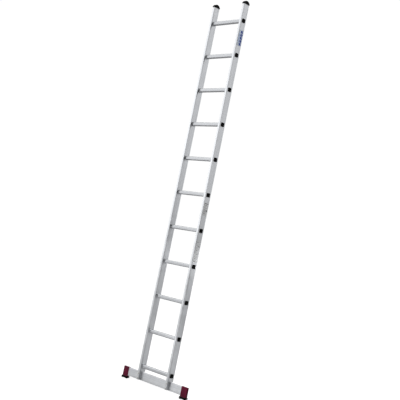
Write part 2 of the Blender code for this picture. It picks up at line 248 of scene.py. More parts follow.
def makePrintedBar():
    # one printed block, by its centre and half sizes on the label
    group, given, made = startGroup(
        "printedBar",
        {"Across": 0.0, "Up": 0.0, "CentreAcross": 0.0, "CentreUp": 0.0, "HalfAcross": 0.01,
         "HalfUp": 0.01, "Slant": 0.0, "Soft": 0.0003},
        ("Mask",))
    fromUp = minus(group, given["Up"], given["CentreUp"])
    lean = times(group, fromUp, given["Slant"])
    fromAcross = minus(group, given["Across"], given["CentreAcross"])
    fromAcross = calc(group, "ABSOLUTE", minus(group, fromAcross, lean))
    outAcross = minus(group, fromAcross, given["HalfAcross"])
    outUp = minus(group, calc(group, "ABSOLUTE", fromUp), given["HalfUp"])
    out = calc(group, "MAXIMUM", outAcross, outUp)
    plug(group, ramp(group, out, 0.0, given["Soft"], 1.0, 0.0), made["Mask"])
    return group


extrusionGrain = makeExtrusionGrain()
edgeWearAndHollowShade = makeEdgeWearAndHollowShade()
hairScratches = makeHairScratches()
floorDust = makeFloorDust()
mouldGrain = makeMouldGrain()
printedBar = makePrintedBar()
print("shared effects built")


def startMaterial(name):
    made = bpy.data.materials.new(name)
    made.use_nodes = True
    tree = made.node_tree
    shader = tree.nodes["Principled BSDF"]
    upright = newNode(tree, "ShaderNodeMapping")
    upright.inputs["Rotation"].default_value = (leanAngle, 0, 0)
    plug(tree, newNode(tree, "ShaderNodeTexCoord").outputs["Object"], upright.inputs["Vector"])
    place = upright.outputs["Vector"]  # the ladder's own axes
    world = newNode(tree, "ShaderNodeNewGeometry").outputs
    marks = newNode(tree, "ShaderNodeAttribute", attribute_name="wearAndShadeMarks").outputs["Fac"]
    return made, tree, shader, place, world, marks


def addWearAndShade(tree, place, marks, values):
    return useGroup(tree, edgeWearAndHollowShade, Place=place, Marks=marks, Breakup=values["wearAndShadeBreakup"])


def addDust(tree, world, reach, amount):
    return useGroup(tree, floorDust, Position=world["Position"], Normal=world["Normal"],
                    Reach=reach, Amount=amount)["Mask"]


aluminiumFinish = {
    "light": (0.685, 0.70, 0.725, 1.0), "dark": (0.51, 0.522, 0.542, 1.0),
    # hollow is a painted shade colour for grooves and hollows
    "hollow": (0.19, 0.195, 0.205, 1.0), "bright": (0.78, 0.79, 0.81, 1.0),
    "dust": (0.46, 0.44, 0.41, 1.0), "dustReach": 0.16, "dustAmount": 0.22, "dustRough": 0.5,
    "acrossGrain": 900.0, "alongGrain": 2.5, "patches": 14.0, "wearAndShadeBreakup": 45.0,
    "edgeBright": 0.5, "edgeSmooth": 0.06,
    "acrossScratch": 40.0, "alongScratch": 1500.0, "scratches": 0.35,
    "roughness": 0.34, "roughnessSpread": 0.12, "relief": 0.25, "reliefDepth": 0.00012,
}


def makeAluminium(name, axis, tone=1.0, roughness=None):
    # satin extruded aluminium with its die lines along one of the ladder's axes
    values = aluminiumFinish
    made, tree, shader, place, world, marks = startMaterial(name)
    stretch = [values["acrossGrain"]] * 3
    stretch[axis] = values["alongGrain"]
    across = [values["acrossScratch"]] * 3
    across[axis] = values["alongScratch"]
    grain = useGroup(tree, extrusionGrain, Place=place, Stretch=stretch,
                     Patches=values["patches"])
    wornAndShaded = addWearAndShade(tree, place, marks, values)
    scratches = useGroup(tree, hairScratches, Place=place, Across=across,
                         Amount=values["scratches"])
    dust = addDust(tree, world, values["dustReach"], values["dustAmount"])
    light = [c * tone for c in values["light"][:3]] + [1.0]
    dark = [c * tone for c in values["dark"][:3]] + [1.0]
    tint = plus(tree, times(tree, grain["Lines"], 0.75), times(tree, grain["Cloud"], 0.25))
    colour = mixColour(tree, ramp(tree, tint, 0.30, 0.70), dark, light)
    # painted shade darkens grooves and hollows
    colour = mixColour(tree, wornAndShaded["HollowShade"], colour, values["hollow"])
    edge = times(tree, wornAndShaded["Edge"], values["edgeBright"])
    colour = mixColour(tree, edge, colour, values["bright"])
    colour = mixColour(tree, scratches["Mask"], colour, values["bright"])
    colour = mixColour(tree, dust, colour, values["dust"])
    plug(tree, colour, shader.inputs["Base Color"])
    spread = values["roughnessSpread"]
    low = (roughness or values["roughness"]) - spread / 2
    rough = spreadOver(tree, grain["Cloud"], low, spread)
    rough = plus(tree, rough, times(tree, dust, values["dustRough"]))
    smoothed = times(tree, wornAndShaded["Edge"], values["edgeSmooth"])
    plug(tree, minus(tree, rough, smoothed), shader.inputs["Roughness"])
    shader.inputs["Metallic"].default_value = 1.0
    addRelief(tree, shader, grain["Height"], values["relief"], values["reliefDepth"])
    return made


plasticFinish = {
    # hollow scales the colour down for painted shade in grooves and hollows
    "deep": 0.80, "high": 1.18, "hollow": 0.4, "dust": (0.30, 0.28, 0.26, 1.0),
    "dustReach": 0.10, "wearAndShadeBreakup": 180.0, "edgeRubbed": 0.55, "edgeSmooth": 0.10,
    "roughnessSpread": 0.16, "relief": 0.35,
}


def makePlastic(name, colour, rubbed, roughness, grainSize, grainDepth, shine, dustAmount):
    # moulded plastic or rubber: pebble grain, slightly rubbed edges, a little dust
    values = plasticFinish
    made, tree, shader, place, world, marks = startMaterial(name)
    grain = useGroup(tree, mouldGrain, Place=place, Size=grainSize)
    wornAndShaded = addWearAndShade(tree, place, marks, values)
    dust = addDust(tree, world, values["dustReach"], dustAmount)
    deep, high, hollow = ([c * values[tone] for c in colour] + [1.0]
                          for tone in ("deep", "high", "hollow"))
    body = mixColour(tree, ramp(tree, grain["Tone"], 0.3, 0.7), deep, high)
    # painted shade darkens grooves, hollows and the cap's end face
    body = mixColour(tree, wornAndShaded["HollowShade"], body, hollow)
    edge = times(tree, wornAndShaded["Edge"], values["edgeRubbed"])
    body = mixColour(tree, edge, body, (*rubbed, 1.0))
    body = mixColour(tree, dust, body, values["dust"])
    plug(tree, body, shader.inputs["Base Color"])
    spread = values["roughnessSpread"]
    rough = spreadOver(tree, grain["Tone"], roughness - spread / 2, spread)
    smoothed = times(tree, wornAndShaded["Edge"], values["edgeSmooth"])
    plug(tree, minus(tree, rough, smoothed), shader.inputs["Roughness"])
    shader.inputs["Specular IOR Level"].default_value = shine
    addRelief(tree, shader, grain["Height"], values["relief"], grainDepth)
    return made


zincFinish = {
    "warm": (0.60, 0.58, 0.53, 1.0), "cool": (0.52, 0.55, 0.58, 1.0),
    # hollow is a painted shade colour for grooves and thread roots
    "hollow": (0.22, 0.21, 0.20, 1.0), "grain": (1800.0, 1800.0, 1800.0), "patches": 190.0,
    "wearAndShadeBreakup": 400.0, "roughness": 0.18, "roughnessSpread": 0.2, "relief": 0.15,
    "reliefDepth": 0.00005,
}


def makeZincSteel():
    # bright zinc plate with the faint yellow-blue drift of passivated fasteners
    values = zincFinish
    made, tree, shader, place, world, marks = startMaterial("zincSteel")
    grain = useGroup(tree, extrusionGrain, Place=place, Stretch=values["grain"],
                     Patches=values["patches"])
    wornAndShaded = addWearAndShade(tree, place, marks, values)
    drift = ramp(tree, grain["Cloud"], 0.35, 0.65)
    colour = mixColour(tree, drift, values["cool"], values["warm"])
    # painted shade darkens grooves and thread roots
    colour = mixColour(tree, wornAndShaded["HollowShade"], colour, values["hollow"])
    plug(tree, colour, shader.inputs["Base Color"])
    rough = spreadOver(tree, grain["Lines"], values["roughness"], values["roughnessSpread"])
    plug(tree, rough, shader.inputs["Roughness"])
    shader.inputs["Metallic"].default_value = 1.0
    addRelief(tree, shader, grain["Height"], values["relief"], values["reliefDepth"])
    return made


filmFinish = {
    "grain": (700.0, 700.0, 700.0), "patches": 70.0, "faded": 0.94, "thinInk": 0.8,
    "roughness": 0.32, "roughnessSpread": 0.15, "shine": 0.14, "coat": 0.06,
    "coatRoughness": 0.25, "relief": 0.1, "reliefDepth": 0.00004,
}


def makeFilm(name, ground, bars, box):
    # printed film; bars are (colour, across, up, half across, half up, slant) in metres from
    # the label's centre
    values = filmFinish
    made, tree, shader, place, world, marks = startMaterial(name)
    split = newNode(tree, "ShaderNodeSeparateXYZ")
    plug(tree, place, split.inputs[0])
    middle = (box[0] + box[1]) / 2
    across = minus(tree, split.outputs["Y"], middle.y)
    up = minus(tree, split.outputs["Z"], middle.z)
    grain = useGroup(tree, extrusionGrain, Place=place, Stretch=values["grain"],
                     Patches=values["patches"])
    faded = [c * values["faded"] for c in ground] + [1.0]
    colour = mixColour(tree, grain["Cloud"], faded, (*ground, 1.0))
    cover = ramp(tree, grain["Lines"], 0.1, 0.4, values["thinInk"], 1.0)
    for ink, centreAcross, centreUp, halfAcross, halfUp, slant in bars:
        mask = useGroup(tree, printedBar, Across=across, Up=up, CentreAcross=centreAcross,
                        CentreUp=centreUp, HalfAcross=halfAcross, HalfUp=halfUp, Slant=slant)
        printed = times(tree, mask["Mask"], cover)
        colour = mixColour(tree, printed, colour, (*ink, 1.0))
    plug(tree, colour, shader.inputs["Base Color"])
    rough = spreadOver(tree, grain["Cloud"], values["roughness"], values["roughnessSpread"])
    plug(tree, rough, shader.inputs["Roughness"])
    shader.inputs["Specular IOR Level"].default_value = values["shine"]
    shader.inputs["Coat Weight"].default_value = values["coat"]
    shader.inputs["Coat Roughness"].default_value = values["coatRoughness"]
    addRelief(tree, shader, grain["Height"], values["relief"], values["reliefDepth"])
    return made


stileAluminium = makeAluminium("stileAluminium", axis=2)
rungAluminium = makeAluminium("rungAluminium", axis=0, tone=0.76, roughness=0.38)
barAluminium = makeAluminium("barAluminium", axis=0)
zincSteel = makeZincSteel()
maroonPlastic = makePlastic("maroonPlastic", (0.112, 0.0034, 0.024), (0.22, 0.045, 0.085), 0.50,
                            grainSize=1500.0, grainDepth=0.00008, shine=0.08, dustAmount=0.02)
blackPlastic = makePlastic("blackPlastic", (0.0025, 0.0025, 0.0027), (0.012, 0.012, 0.0125), 0.50,
                           grainSize=1500.0, grainDepth=0.00006, shine=0.05, dustAmount=0.004)
treadRubber = makePlastic("treadRubber", (0.003, 0.003, 0.003), (0.010, 0.010, 0.010), 0.78,
                          grainSize=900.0, grainDepth=0.00012, shine=0.05, dustAmount=0.01)
print("materials built")


def profile(wide, tall, corner, steps=6, grooves=None):
    # Rounded rectangle, anticlockwise, as (u, v, mark). grooves maps a flat to (places, width,
    # depth), with flats numbered +v, -u, -v, +u and places measured from the flat's middle.
    points = []
    halves = (wide / 2, tall / 2)
    for quarter in range(4):
        for k in range(steps + 1):
            turn = (quarter + k / steps) * math.pi / 2
            signU = 1 if quarter in (0, 3) else -1
            signV = 1 if quarter in (0, 1) else -1
            points.append((signU * (halves[0] - corner) + corner * math.cos(turn),
                           signV * (halves[1] - corner) + corner * math.sin(turn),
                           math.sin(math.pi * k / steps)))
        turn = (quarter + 1) * math.pi / 2
        outU, outV = math.cos(turn), math.sin(turn)
        half = halves[1] if quarter in (0, 2) else halves[0]
        places, width, depth = (grooves or {}).get(quarter, ((), 0, 0))
        for middle in places:
            for step, sink in ((-0.5, 0), (-0.25, 1), (0.25, 1), (0.5, 0)):
                out = half - sink * depth
                along = middle + step * width
                # a groove's floor gets a negative mark, for painted shade
                points.append((outU * out - outV * along, outV * out + outU * along, -sink * 0.9))
    return points


def circle(radius, steps=24, mark=0.0):
    return [(radius * math.cos(2 * math.pi * k / steps), radius * math.sin(2 * math.pi * k / steps),
             mark) for k in range(steps)]


def quarterRound(steps, radius):
    # a rounded edge as (how far back, how far in, mark) from one face to the next
    turns = [k / steps * math.pi / 2 for k in range(steps + 1)]
    return [(radius * (1 - math.cos(turn)), radius * (1 - math.sin(turn)), math.sin(2 * turn))
            for turn in turns]


def shifted(outline, du, dv):
    return [(u + du, v + dv, mark) for u, v, mark in outline]


def alongX(u, v, w):
    return (w, u, v)


def alongY(u, v, w):
    return (v, w, u)


def alongZ(u, v, w):
    return (u, v, w)


def skin(bm, stations, place, inward=False):
    # rings of points joined into a tube; a station is (outline, w) or (outline, w, mark)
    layer = bm.verts.layers.float.get("wearAndShadeMarks") or bm.verts.layers.float.new("wearAndShadeMarks")
    rings = []
    for outline, w, *mark in stations:
        ring = []
        for u, v, outlineMark in outline:
            vert = bm.verts.new(place(u, v, w))
            vert[layer] = max(outlineMark, mark[0]) if mark else outlineMark
            ring.append(vert)
        rings.append(ring)
    for below, above in zip(rings, rings[1:]):
        for k in range(len(below)):
            n = (k + 1) % len(below)
            corners = (below[k], below[n], above[n], above[k])
            bm.faces.new(tuple(reversed(corners)) if inward else corners)
    return rings


def loft(bm, stations, place):
    rings = skin(bm, stations, place)
    bm.faces.new(tuple(reversed(rings[0])))
    bm.faces.new(rings[-1])


def hollowLoft(bm, outer, inner, place):
    # both skins have the same number of points in each ring
    out = skin(bm, outer, place)
    bore = skin(bm, inner, place, inward=True)
    for end in (0, -1):
        for k in range(len(out[end])):
            n = (k + 1) % len(out[end])
            corners = (out[end][k], out[end][n], bore[end][n], bore[end][k])
            bm.faces.new(tuple(reversed(corners)) if end == 0 else corners)


def freshMesh(*builders):
    bm = bmesh.new()
    for build in builders:
        build(bm)
    return bm


def looseObject(name, bm):
    mesh = bpy.data.meshes.new(name)
    bmesh.ops.recalc_face_normals(bm, faces=bm.faces)
    bm.to_mesh(mesh)
    bm.free()
    thing = bpy.data.objects.new(name, mesh)
    scene.collection.objects.link(thing)
    return thing


def combined(bm, *steps):
    # applies (operation, bmesh) steps one after another and gives back one bmesh
    thing = looseObject("blank", bm)
    tools = []
    for operation, other in steps:
        tool = looseObject("tool", other)
        tools.append(tool)
        modifier = thing.modifiers.new("step", "BOOLEAN")
        modifier.operation = operation
        modifier.solver = "EXACT"
        modifier.object = tool
    graph = bpy.context.evaluated_depsgraph_get()
    evaluated = thing.evaluated_get(graph)
    result = bmesh.new()
    result.from_mesh(evaluated.to_mesh())
    evaluated.to_mesh_clear()
    for spare in [thing] + tools:
        mesh = spare.data
        bpy.data.objects.remove(spare, do_unlink=True)
        bpy.data.meshes.remove(mesh)
    return result


def addPiece(name, bm, finish, node, at=(0, 0, 0), mirrored=False, sharp=32.0):
    if mirrored:
        bmesh.ops.scale(bm, vec=(-1, 1, 1), verts=bm.verts)
    bmesh.ops.remove_doubles(bm, verts=bm.verts, dist=1e-7)
    bmesh.ops.transform(bm, matrix=leanBack @ Matrix.Translation(at), verts=bm.verts)
    piece = looseObject(name, bm)
    piece.data.materials.clear()
    piece.data.materials.append(finish)
    piece.data.shade_smooth()
    piece.data.set_sharp_from_angle(angle=math.radians(sharp))
    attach(piece, "root")
    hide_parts(node)


stileShape = {
    "wall": 0.0015, "corner": 0.002, "steps": 6,
    "dieLines": (-0.0195, 0.0195), "dieLineWidth": 0.0011, "dieLineDepth": 0.00035,
    "sawnEdge": 0.0003, "sawnTuck": (0.985, 0.995),
}
cutter = {"wide": 0.03, "deep": 0.06, "under": 0.01}  # how far the cutting blocks reach out
boltShape = {
    "radius": 0.003, "hole": 0.0032, "heights": (0.037, 0.072), "round": 36,
    "pitch": 0.001, "threadDepth": 0.00045, "threaded": 0.014,
    "flange": 0.0065, "flangeThick": 0.0012, "headThick": 0.004, "across": 0.0088,
    # lines over the head from its hollow top: how far the corners are cut, how far down, mark
    "headLines": ((0.66, 0.0005, 0.0), (0.76, 0.0003, 0.6), (0.88, 0.0, 1.0),
                  (0.94, 0.0003, 0.6), (1.0, 0.0009, 0.0)),
    # lines down the flange to the stile: how far in, how far above the stile, mark
    "flangeLines": ((0.0002, 0.0006, 0.6), (0.0, 0.0003, 0.6), (0.0001, 0.0, 0.0)),
    "tipLines": ((0.0006, 0.0008), (0.0012, 0.0)),
    "nutAcross": 0.0100, "holeFlare": 0.0004, "flareLong": 0.0006,
}


def stileSection(inset, depth):
    s = stileShape
    size = stileHigh - stileLow
    lines = (s["dieLines"], s["dieLineWidth"], depth)
    return profile(size.x - 2 * inset, size.y - 2 * inset, s["corner"] - inset, s["steps"],
                   {1: lines, 3: lines})


def boltHoles(bm):
    for up in boltShape["heights"]:
        outline = shifted(circle(boltShape["hole"]), up, stileMid)
        loft(bm, [(outline, -cutter["deep"]), (outline, cutter["deep"])], alongY)


def buildStile():
    s = stileShape
    low, high, saw = stileLow.z, stileHigh.z, s["sawnEdge"]
    outline, bore = stileSection(0, s["dieLineDepth"]), stileSection(s["wall"], 0)
    wide, deep = cutter["wide"], cutter["deep"]

    def walls(bm):
        tuckU, tuckV = s["sawnTuck"]
        tucked = [(u * tuckU, v * tuckV, 1.0) for u, v, mark in outline]
        hollowLoft(bm, [(tucked, low), (outline, low + saw), (outline, high - saw), (tucked, high)],
                   [(bore, z) for z in (low, low + saw, high - saw, high)], alongZ)

    def rungHoles(bm):
        side = rungShape["side"] + 2 * touch
        for up in rungHeights:
            hole = shifted(profile(side, side, rungShape["corner"] + touch), 0, up)
            loft(bm, [(hole, -wide), (hole, wide)], alongX)

    def barNotch(bm):
        front = barLow.y - touch
        box = [(-wide, front, 0.0), (wide, front, 0.0), (wide, deep, 0.0), (-wide, deep, 0.0)]
        loft(bm, [(box, low - cutter["under"]), (box, barHigh.z + touch)], alongZ)

    def centredBoltHoles(bm):
        boltHoles(bm)
        bmesh.ops.translate(bm, vec=(-stileMid, 0, 0), verts=bm.verts)

    return combined(freshMesh(walls), ("DIFFERENCE", freshMesh(rungHoles)),
                    ("DIFFERENCE", freshMesh(barNotch)),
                    ("DIFFERENCE", freshMesh(centredBoltHoles)))


rungShape = {
    "side": 0.029, "wall": 0.0015, "corner": 0.006, "steps": 6,
    "ribs": 8, "ribPitch": 0.0021, "grooveWidth": 0.0012, "grooveDepth": 0.0006,
    "beadOut": 0.0026, "beadLong": 0.0045, "beadStart": 0.35, "beadSteps": 7,
    "lipOut": 0.0010, "lipThick": 0.0009,
    "lip": ((0.5, 1.0), (0.85, 0.8), (1.0, 0.45), (1.0, 0.0)),  # how far out, how thick
    "grooveRunIn": 0.003,
}
plugShape = {
    "side": 0.0325, "corner": 0.007, "thick": 0.0028, "spigot": 0.014, "spigotTaper": 0.001,
    "taperLong": 0.003, "edge": 0.45, "crown": 0.0016, "crownRise": 0.47, "crownSteps": 5,
    # the ring in the face: how far in, how high as a share of the thickness, and its mark, negative
    # where the groove gets painted shade
    "ring": ((0.0042, 0.96, 0.0), (0.0045, 0.875, -0.8), (0.0053, 0.875, -0.8),
             (0.0056, 0.98, 0.0), (0.0102, 1.0, 0.0)),
}


def rungSection(grow, grooveDepth):
    s = rungShape
    places = [(k - (s["ribs"] - 1) / 2) * s["ribPitch"] for k in range(s["ribs"])]
    ribs = (places, s["grooveWidth"], grooveDepth)
    side = s["side"] + 2 * grow
    return profile(side, side, s["corner"] + grow, s["steps"], {0: ribs, 2: ribs})


def buildRung(bm):
    # ribbed treads between the stiles, a rolled bead inside each stile and a lip outside
    s = rungShape
    inside = stileLow.x - touch
    outside = stileHigh.x + touch
    half = [(rungSection(s["lipOut"] * out, 0), outside + s["lipThick"] * along, 1.0)
            for out, along in s["lip"]]
    half += [(rungSection(0, 0), outside), (rungSection(0, 0), inside)]
    for k in range(s["beadSteps"] + 1):
        turn = math.pi * k / s["beadSteps"]
        rolled = s["beadStart"] + (1 - s["beadStart"]) * math.sin(turn)
        out, mark = (s["beadOut"] * rolled, 0.6) if k < s["beadSteps"] else (0, 0.0)
        half.append((rungSection(out, 0), inside - s["beadLong"] * (1 - math.cos(turn)) / 2,
                     mark))
    half.append((rungSection(0, s["grooveDepth"]), inside - s["beadLong"] - s["grooveRunIn"]))
    stations = [(station[0], -station[1], *station[2:]) for station in half]
    stations += list(reversed(half))
    bore = profile(s["side"] - 2 * s["wall"], s["side"] - 2 * s["wall"], s["corner"] - s["wall"],
                   s["steps"], {0: ([0] * s["ribs"], 0, 0), 2: ([0] * s["ribs"], 0, 0)})
    hollowLoft(bm, stations, [(bore, -half[0][1]), (bore, half[0][1])], alongX)


def buildPlug(bm):
    # spigot, flange with a soft crown, and the shallow ring that a mould's ejector leaves
    s = plugShape
    inner = rungShape["side"] - 2 * rungShape["wall"] - 2 * touch
    corner = rungShape["corner"] - rungShape["wall"]
    seat = stileHigh.x + 2 * touch + rungShape["lipThick"]

    def flange(inset, mark=0.0):
        side = s["side"] - 2 * inset
        outline = profile(side, side, max(s["corner"] - inset, 0.001))
        return [(u, v, mark) for u, v, outlineMark in outline]

    tip = inner - 2 * s["spigotTaper"]
    spigot, end = profile(inner, inner, corner), seat - s["spigot"]
    stations = [(profile(tip, tip, corner - s["spigotTaper"]), end),
                (spigot, end + s["taperLong"]), (spigot, seat), (flange(0), seat),
                (flange(0, 0.6), seat + s["thick"] * s["edge"])]
    for k in range(1, s["crownSteps"] + 1):
        turn = k / s["crownSteps"] * math.pi / 2
        mark = 1.0 if k < s["crownSteps"] - 1 else 0.2
        stations.append((flange(s["crown"] * (1 - math.cos(turn)), mark),
                         seat + s["thick"] * (s["edge"] + s["crownRise"] * math.sin(turn))))
    stations += [(flange(inset, mark), seat + s["thick"] * share)
                 for inset, share, mark in s["ring"]]
    loft(bm, stations, alongX)


for side, sign in sides.items():
    addPiece(f"stile{side.title()}", buildStile(), stileAluminium, f"stile_{side}",
             at=(sign * stileMid, 0, 0))
print("stiles built")

for number, name in enumerate(rungNames, start=1):
    spot = (0, 0, rungHeights[number - 1])
    addPiece(f"rung{number:02d}", freshMesh(buildRung), rungAluminium, name, at=spot)
    for side, sign in sides.items():
        addPiece(f"rungPlug{side.title()}{number:02d}", freshMesh(buildPlug), blackPlastic,
                 f"rung_plug_{side}_{number:02d}", at=spot, mirrored=sign < 0)
print("rungs and plugs built")


topCapShape = {
    "over": 0.0022, "rim": 0.006, "rise": 0.020, "soft": 0.003, "rimMark": 0.8,
    "step": 0.0005, "arcSteps": 28, "softSteps": 5,
    "spigot": 0.030, "spigotCorner": 0.002, "spigotTaper": 0.0015, "tipCorner": 0.001,
    "taperLong": 0.004, "spigotInto": 0.003,
}


def buildTopCap(bm):
    # an arched block, rounded along both sides, over a low rim
    s = topCapShape
    size = stileHigh - stileLow
    base = stileHigh.z + touch

    def arch(inset, mark):
        half = size.y / 2 + s["over"] - inset / 2
        reach = half - s["step"]
        radius = (reach ** 2 + s["rise"] ** 2) / (2 * s["rise"])
        centre = base + s["rim"] + s["rise"] - radius
        sweep = math.asin(reach / radius)
        rim, rimMark = base + s["rim"] - inset / 2, max(mark, s["rimMark"])
        points = [(half, base, mark), (half, rim, rimMark)]
        for k in range(s["arcSteps"] + 1):
            turn = sweep - 2 * sweep * k / s["arcSteps"]
            points.append((radius * math.sin(turn), centre + radius * math.cos(turn) - inset,
                           mark))
        return points + [(-half, rim, rimMark), (-half, base, mark)]

    wide = size.x / 2 + s["over"]
    half = [(arch(inset, mark), wide - back)
            for back, inset, mark in quarterRound(s["softSteps"], s["soft"])]
    stations = [(outline, -w) for outline, w in half] + list(reversed(half))
    loft(bm, stations, alongX)


def buildTopCapSpigot(bm):
    s = topCapShape
    size = stileHigh - stileLow
    room = 2 * (stileShape["wall"] + touch)
    outline = profile(size.x - room, size.y - room, s["spigotCorner"])
    room += 2 * s["spigotTaper"]
    tip = profile(size.x - room, size.y - room, s["tipCorner"])
    end = stileHigh.z - s["spigot"]
    loft(bm, [(tip, end), (outline, end + s["taperLong"]),
              (outline, stileHigh.z + s["spigotInto"])], alongZ)


for side, sign in sides.items():
    cap = combined(freshMesh(buildTopCap), ("UNION", freshMesh(buildTopCapSpigot)))
    addPiece(f"stileTopCap{side.title()}", cap, blackPlastic,
             f"stile_top_cap_{side}", at=(sign * stileMid, 0, 0))
print("top caps built")


barShape = {
    "wall": 0.0018, "corner": 0.002, "steps": 5,
    "dieLines": (-0.022, 0.022), "dieLineWidth": 0.0012, "dieLineDepth": 0.0003,
}


def buildBar(bm):
    s = barShape
    size = barHigh - barLow

    def section(inset, depth):
        lines = (s["dieLines"], s["dieLineWidth"], depth)
        outline = profile(size.y - 2 * inset, size.z - 2 * inset, s["corner"] - inset * 0.8,
                          s["steps"], {1: lines, 3: lines})
        return shifted(outline, barMid.y, barMid.z)

    outer, bore = section(0, s["dieLineDepth"]), section(s["wall"], 0)
    hollowLoft(bm, [(outer, barLow.x), (outer, barHigh.x)],
               [(bore, barLow.x), (bore, barHigh.x)], alongX)


def bothBoltHoles(bm):
    boltHoles(bm)
    twin = bmesh.ops.duplicate(bm, geom=list(bm.verts) + list(bm.edges) + list(bm.faces))
    verts = [part for part in twin["geom"] if isinstance(part, bmesh.types.BMVert)]
    bmesh.ops.translate(bm, vec=(-2 * stileMid, 0, 0), verts=verts)


addPiece("stabiliserBar", combined(freshMesh(buildBar), ("DIFFERENCE", freshMesh(bothBoltHoles))),
         barAluminium, "stabiliser_bar")
print("stabiliser bar built")


endCapShape = {
    "wall": 0.002, "corner": 0.004, "soft": 0.003, "softSteps": 5, "bottom": 0.015,
    "band": 0.0035, "bandOut": 0.0006, "bandLead": 0.0005, "bandStep": 0.0004,
    "endInset": 0.0008, "endPaintedShade": -1.6, "cornerWear": 0.25,
    "flange": (0.060, 0.022, 0.0035), "flangeCorner": 0.005, "flangeSoft": 0.002,
    "pegApart": 0.034, "pegRadius": 0.004, "pegUp": 0.005, "pegInto": 0.002,
}
soleShape = {
    "lobe": 0.024, "arch": 0.003, "ramp": 0.004, "soft": 0.003, "softSteps": 4,
    "treads": (0.0062, 0.0117, 0.0172), "treadWidth": 0.0022, "treadDepth": 0.0016,
    "topSoft": 0.0012, "faceSoft": 0.0015, "faceSteps": 4,
}
capLow, capHigh = ladderBox("bar_end_cap_right")
soleLow, soleHigh = ladderBox("foot_sole_right")
soleMid = (soleLow.x + soleHigh.x) / 2
soleTop = capLow.z - touch


def buildSleeve(bm):
    # the +X cap: a band round the mouth, plain walls, and a rounded closed end
    s = endCapShape
    deep = barHigh.y - barLow.y + 2 * (s["wall"] + touch)
    middle = (capHigh.z + s["bottom"]) / 2

    def section(inset, mark=None):
        outline = profile(deep - 2 * inset, capHigh.z - s["bottom"] - 2 * inset,
                          s["corner"] - inset)
        wornAndShaded = [(u, v, corner * s["cornerWear"] if mark is None else mark)
                for u, v, corner in outline]
        return shifted(wornAndShaded, barMid.y, middle)

    lip = s["bandOut"]
    bandEnd = capLow.x + s["band"]
    # the step behind the band gets a negative mark, for painted shade
    stations = [(section(-lip * 0.4, 1.0), capLow.x), (section(-lip), capLow.x + s["bandLead"]),
                (section(-lip, 0.8), bandEnd), (section(0, -0.5), bandEnd + s["bandStep"])]
    stations += [(section(inset, mark * s["cornerWear"]), capHigh.x - back)
                 for inset, back, mark in quarterRound(s["softSteps"], s["soft"])]
    # painted shade: a strong negative mark darkens the closed end face towards the hollow shade
    # colour
    stations.append((section(s["soft"] + s["endInset"], s["endPaintedShade"]), capHigh.x))
    loft(bm, stations, alongX)


def buildCapFlange(bm):
    s = endCapShape
    wide, deep, thick = s["flange"]

    def plate(inset, mark=0.0):
        outline = profile(wide - 2 * inset, deep - 2 * inset, s["flangeCorner"] - inset)
        return shifted([(u, v, mark) for u, v, outlineMark in outline], soleMid, barMid.y)

    soft = s["flangeSoft"]
    loft(bm, [(plate(soft * 0.2), capLow.z), (plate(0, 0.4), capLow.z + 0.0004),
              (plate(0, 0.8), capLow.z + thick * 0.5),
              (plate(soft * 0.35, 1.0), capLow.z + thick * 0.85),
              (plate(soft), capLow.z + thick)], alongZ)


def buildCapPocket(bm):
    size = barHigh - barLow
    outline = profile(size.y + 2 * touch, size.z + 2 * touch, barShape["corner"] + touch)
    outline = shifted(outline, barMid.y, barMid.z)
    loft(bm, [(outline, capLow.x - cutter["under"]), (outline, barHigh.x + touch)], alongX)


def pegs(bm, into, room):
    # from inside the sole up into the cap, with room round each peg when they cut sockets
    s = endCapShape
    for offset in (-0.5, 0.5):
        outline = shifted(circle(s["pegRadius"] + room), soleMid + offset * s["pegApart"],
                          barMid.y)
        loft(bm, [(outline, soleTop - into), (outline, soleTop + s["pegUp"] + room)], alongZ)


def buildSolePegs(bm):
    pegs(bm, endCapShape["pegInto"], 0)


def buildPegSockets(bm):
    pegs(bm, endCapShape["pegInto"] / 2, touch)


def buildSole(bm):
    # lobes with cross treads stand flat on the floor under the leaning ladder
    s = soleShape
    half = (soleHigh.x - soleLow.x) / 2
    inner = half - s["lobe"]

    def outline(y, inset):
        low = floorAt(y) + inset
        soft = s["soft"]
        edge = half - inset
        # the arch and the tread grooves get negative marks, for painted shade; the tread edges get
        # positive ones, for wear
        right = [(inner, low + s["arch"], -0.2), (inner + s["ramp"], low, 0.3)]
        for place in sorted(half - t for t in s["treads"]):
            if place - s["treadWidth"] < inner + s["ramp"]:
                continue
            for step, sink in ((-0.5, 0), (-0.3, 1), (0.3, 1), (0.5, 0)):
                right.append((place + step * s["treadWidth"], low + sink * s["treadDepth"],
                              0.3 - sink))
        for k in range(s["softSteps"] + 1):
            turn = -math.pi / 2 + k / s["softSteps"] * math.pi / 2
            right.append((edge - soft + soft * math.cos(turn), low + soft + soft * math.sin(turn),
                          math.sin(math.pi * k / s["softSteps"])))
        top = soleTop - inset
        right += [(edge, top - s["topSoft"], 0.5), (edge - s["topSoft"], top, 0.5)]
        left = [(-x, z, mark) for x, z, mark in reversed(right)]
        return [(z, x + soleMid, mark) for x, z, mark in left + right]

    rounded = quarterRound(s["faceSteps"], s["faceSoft"])
    stations = [(outline(soleLow.y + back, inset), soleLow.y + back, mark)
                for back, inset, mark in rounded]
    stations += [(outline(soleHigh.y - back, inset), soleHigh.y - back, mark)
                 for back, inset, mark in reversed(rounded)]
    loft(bm, stations, alongY)


for side, sign in sides.items():
    cap = combined(freshMesh(buildSleeve), ("UNION", freshMesh(buildCapFlange)),
                   ("DIFFERENCE", freshMesh(buildCapPocket)),
                   ("DIFFERENCE", freshMesh(buildPegSockets)))
    addPiece(f"barEndCap{side.title()}", cap, maroonPlastic,
             f"bar_end_cap_{side}", mirrored=sign < 0)
    sole = combined(freshMesh(buildSole), ("UNION", freshMesh(buildSolePegs)))
    addPiece(f"footSole{side.title()}", sole, treadRubber, f"foot_sole_{side}",
             mirrored=sign < 0)
print("end caps and soles built")


